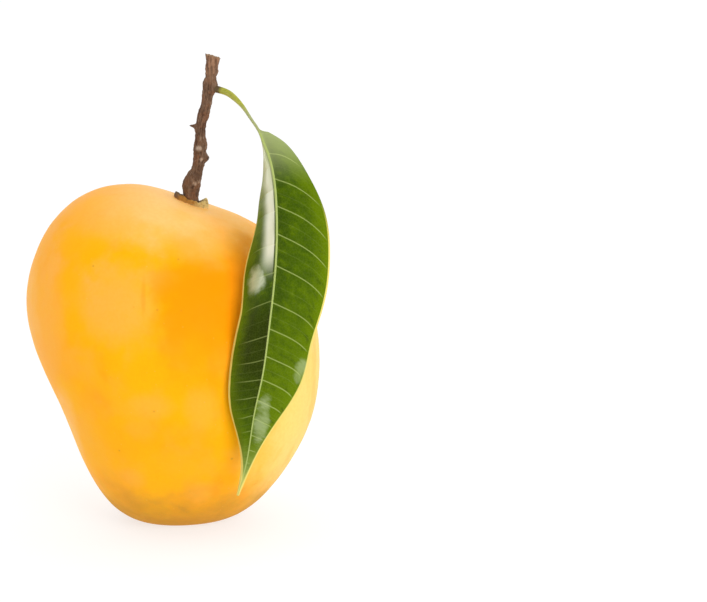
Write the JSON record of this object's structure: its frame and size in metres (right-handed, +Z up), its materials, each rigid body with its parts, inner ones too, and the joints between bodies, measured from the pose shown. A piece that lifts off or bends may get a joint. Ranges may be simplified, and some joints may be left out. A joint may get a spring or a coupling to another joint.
{
  "type": "mango",
  "caption": "Whole ripe yellow mango standing on its blunt tip, with its woody stem, dried collar and one leaf on a long stalk.",
  "frame": {"origin": "centre of the flat spot that the fruit rests on, straight below the middle of its core", "axes": "+Z up from the resting spot to the stem end; +X towards the fruit's low shoulder and the leaf; -Y out of the front cheek"},
  "size_m": [0.0927, 0.0858, 0.1443],
  "materials": {
    "ripe_skin": "satin",
    "bark": "matte",
    "leaf_green": "satin"
  },
  "bodies": {
    "root": {"fruit": "ripe_skin", "stem": "bark", "leaf": "leaf_green"}
  },
  "joints": []
}
